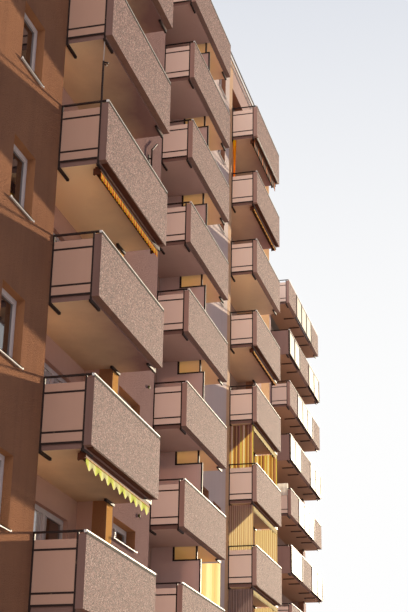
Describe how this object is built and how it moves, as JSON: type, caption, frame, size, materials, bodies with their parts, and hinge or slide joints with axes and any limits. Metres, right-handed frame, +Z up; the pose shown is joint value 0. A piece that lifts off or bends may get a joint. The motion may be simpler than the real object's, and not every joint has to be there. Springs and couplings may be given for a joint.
{
  "type": "apartment block, 1:2 scale model",
  "caption": "Stepped apartment block, half size: sections side by side, each with full-height columns of recessed balconies with stone-faced fronts, framed ends and awnings.",
  "frame": {"origin": "on the ground, in the middle of the block's outline in plan", "axes": "+X along the street front, towards the tall far sections; +Y from the street into the building; +Z up"},
  "size_m": [27.2, 8.08, 14.82],
  "materials": {
    "awnings": "matte",
    "back_piers": "matte",
    "back_spandrels": "matte",
    "balcony_ribs": "satin",
    "balcony_slabs_1": "matte",
    "balcony_slabs_2": "matte",
    "balcony_slabs_3": "matte",
    "balcony_slabs_4": "matte",
    "end_boards": "matte",
    "end_curtains": "matte",
    "end_frames": "satin",
    "end_infills": "matte",
    "end_walls_1": "matte",
    "end_walls_2": "matte",
    "end_walls_3": "matte",
    "floor_slabs_1": "matte",
    "floor_slabs_2": "matte",
    "floor_slabs_3": "matte",
    "front_handrails": "satin",
    "front_panels_1": "matte",
    "front_panels_2": "matte",
    "front_panels_3": "matte",
    "front_panels_4": "matte",
    "front_piers_1": "matte",
    "front_piers_2": "matte",
    "front_piers_3": "matte",
    "front_spandrels_1": "matte",
    "front_spandrels_2": "matte",
    "front_spandrels_3": "matte",
    "glazed_panels": "gloss",
    "ground_slabs": "matte",
    "loggia_lintels": "matte",
    "loggia_piers": "matte",
    "loggia_returns": "matte",
    "post_feet": "satin",
    "roof_edge_back": "satin",
    "roof_edge_ends": "satin",
    "roof_edge_front": "satin",
    "roof_slabs": "matte",
    "screen_inner_panels": "matte",
    "screen_panels": "matte",
    "screen_posts": "satin"
  },
  "bodies": {
    "root": {"awnings": "awnings", "back_piers": "back_piers", "back_spandrels": "back_spandrels", "balcony_ribs": "balcony_ribs", "balcony_slabs_1": "balcony_slabs_1", "balcony_slabs_2": "balcony_slabs_2", "balcony_slabs_3": "balcony_slabs_3", "balcony_slabs_4": "balcony_slabs_4", "end_boards": "end_boards", "end_curtains": "end_curtains", "end_frames": "end_frames", "end_infills": "end_infills", "end_walls_1": "end_walls_1", "end_walls_2": "end_walls_2", "end_walls_3": "end_walls_3", "floor_slabs_1": "floor_slabs_1", "floor_slabs_2": "floor_slabs_2", "floor_slabs_3": "floor_slabs_3", "front_handrails": "front_handrails", "front_panels_1": "front_panels_1", "front_panels_2": "front_panels_2", "front_panels_3": "front_panels_3", "front_panels_4": "front_panels_4", "front_piers_1": "front_piers_1", "front_piers_2": "front_piers_2", "front_piers_3": "front_piers_3", "front_spandrels_1": "front_spandrels_1", "front_spandrels_2": "front_spandrels_2", "front_spandrels_3": "front_spandrels_3", "glazed_panels": "glazed_panels", "ground_slabs": "ground_slabs", "loggia_lintels": "loggia_lintels", "loggia_piers": "loggia_piers", "loggia_returns": "loggia_returns", "post_feet": "post_feet", "roof_edge_back": "roof_edge_back", "roof_edge_ends": "roof_edge_ends", "roof_edge_front": "roof_edge_front", "roof_slabs": "roof_slabs", "screen_inner_panels": "screen_inner_panels", "screen_panels": "screen_panels", "screen_posts": "screen_posts"}
  },
  "joints": []
}
